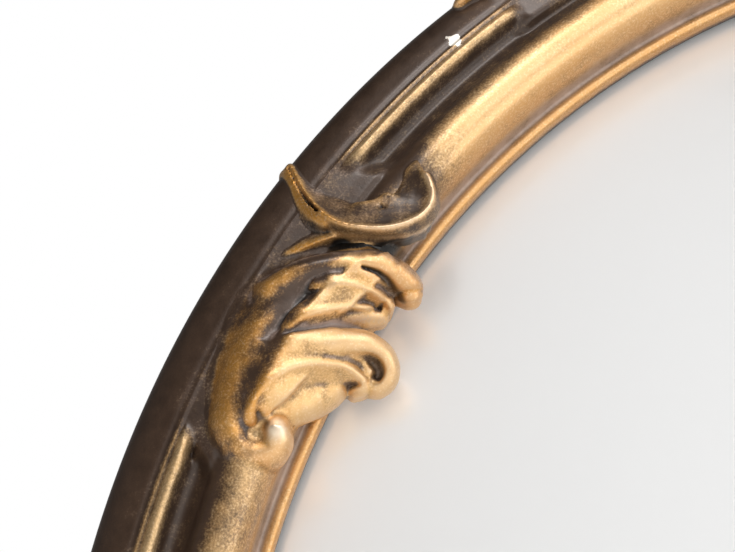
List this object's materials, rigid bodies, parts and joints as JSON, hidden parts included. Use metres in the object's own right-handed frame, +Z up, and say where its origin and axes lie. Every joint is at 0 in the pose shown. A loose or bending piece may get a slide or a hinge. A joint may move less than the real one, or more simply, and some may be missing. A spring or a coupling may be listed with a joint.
{
  "type": "convex butlers mirror",
  "caption": "Round convex wall mirror in a moulded antique gilt frame with rocaille scroll and shell castings, crests, a domed silvered glass and D-ring hangers.",
  "frame": {"origin": "centre of the round frame on the wall plane that the bumpers touch", "axes": "+Z up, -Y out of the wall towards the viewer, +X to the right as seen from the front"},
  "size_m": [0.5994, 0.0503, 0.656],
  "materials": {
    "gilt_frame": "cast resin, gilded and toned with dark umber, gold rubbed through on the raised members",
    "gilt_carving": "cast resin with antique gold leaf finish, lilac-grey wax in the hollows",
    "silvered_glass": "polished domed glass, silvered on its back",
    "felt": "black felt strip",
    "hardboard": "smooth brown hardboard",
    "brassed_plate": "brassed steel plate",
    "brassed_wire": "brassed steel wire",
    "screw_steel": "zinc plated steel",
    "bumper_rubber": "matt black rubber"
  },
  "bodies": {
    "frame": {"frame_ring": "gilt_frame", "scroll_upper_left": "gilt_carving", "shell_upper_left": "gilt_carving", "scroll_upper_right": "gilt_carving", "shell_upper_right": "gilt_carving", "scroll_lower_left": "gilt_carving", "shell_lower_left": "gilt_carving", "scroll_lower_right": "gilt_carving", "shell_lower_right": "gilt_carving", "crest_top": "gilt_carving", "crest_bottom": "gilt_carving", "mirror_glass": "silvered_glass", "glass_gasket": "felt", "backing_board": "hardboard", "button_screw_1": "screw_steel", "button_screw_2": "screw_steel", "button_screw_3": "screw_steel", "button_screw_4": "screw_steel", "button_screw_5": "screw_steel", "button_screw_6": "screw_steel", "hanger_strap_left": "brassed_plate", "strap_screw_left_1": "screw_steel", "strap_screw_left_2": "screw_steel", "hanger_strap_right": "brassed_plate", "strap_screw_right_1": "screw_steel", "strap_screw_right_2": "screw_steel", "wall_bumper_upper_right": "bumper_rubber", "wall_bumper_upper_left": "bumper_rubber", "wall_bumper_lower_left": "bumper_rubber", "wall_bumper_lower_right": "bumper_rubber"},
    "button_1": {"turn_button_1": "brassed_plate"},
    "button_2": {"turn_button_2": "brassed_plate"},
    "button_3": {"turn_button_3": "brassed_plate"},
    "button_4": {"turn_button_4": "brassed_plate"},
    "button_5": {"turn_button_5": "brassed_plate"},
    "button_6": {"turn_button_6": "brassed_plate"},
    "ring_left": {"hanger_ring_left": "brassed_wire"},
    "ring_right": {"hanger_ring_right": "brassed_wire"}
  },
  "joints": [
    {"name": "turn_button_1_swivel", "type": "hinge", "parent": "frame", "child": "button_1", "pos_m": [0.268, -0.0051, 0], "axis": [0, 1, 0], "continuous": true},
    {"name": "turn_button_2_swivel", "type": "hinge", "parent": "frame", "child": "button_2", "pos_m": [0.134, -0.0051, 0.23209], "axis": [0, 1, 0], "continuous": true},
    {"name": "turn_button_3_swivel", "type": "hinge", "parent": "frame", "child": "button_3", "pos_m": [-0.134, -0.0051, 0.23209], "axis": [0, 1, 0], "continuous": true},
    {"name": "turn_button_4_swivel", "type": "hinge", "parent": "frame", "child": "button_4", "pos_m": [-0.268, -0.0051, 0], "axis": [0, 1, 0], "continuous": true},
    {"name": "turn_button_5_swivel", "type": "hinge", "parent": "frame", "child": "button_5", "pos_m": [-0.134, -0.0051, -0.23209], "axis": [0, 1, 0], "continuous": true},
    {"name": "turn_button_6_swivel", "type": "hinge", "parent": "frame", "child": "button_6", "pos_m": [0.134, -0.0051, -0.23209], "axis": [0, 1, 0], "continuous": true},
    {"name": "hanger_ring_left_swing", "type": "hinge", "parent": "frame", "child": "ring_left", "pos_m": [-0.24292, -0.00335, 0.14025], "axis": [-1, 0, 0], "range_deg": [0, 165]},
    {"name": "hanger_ring_right_swing", "type": "hinge", "parent": "frame", "child": "ring_right", "pos_m": [0.24292, -0.00335, 0.14025], "axis": [-1, 0, 0], "range_deg": [0, 165]}
  ]
}
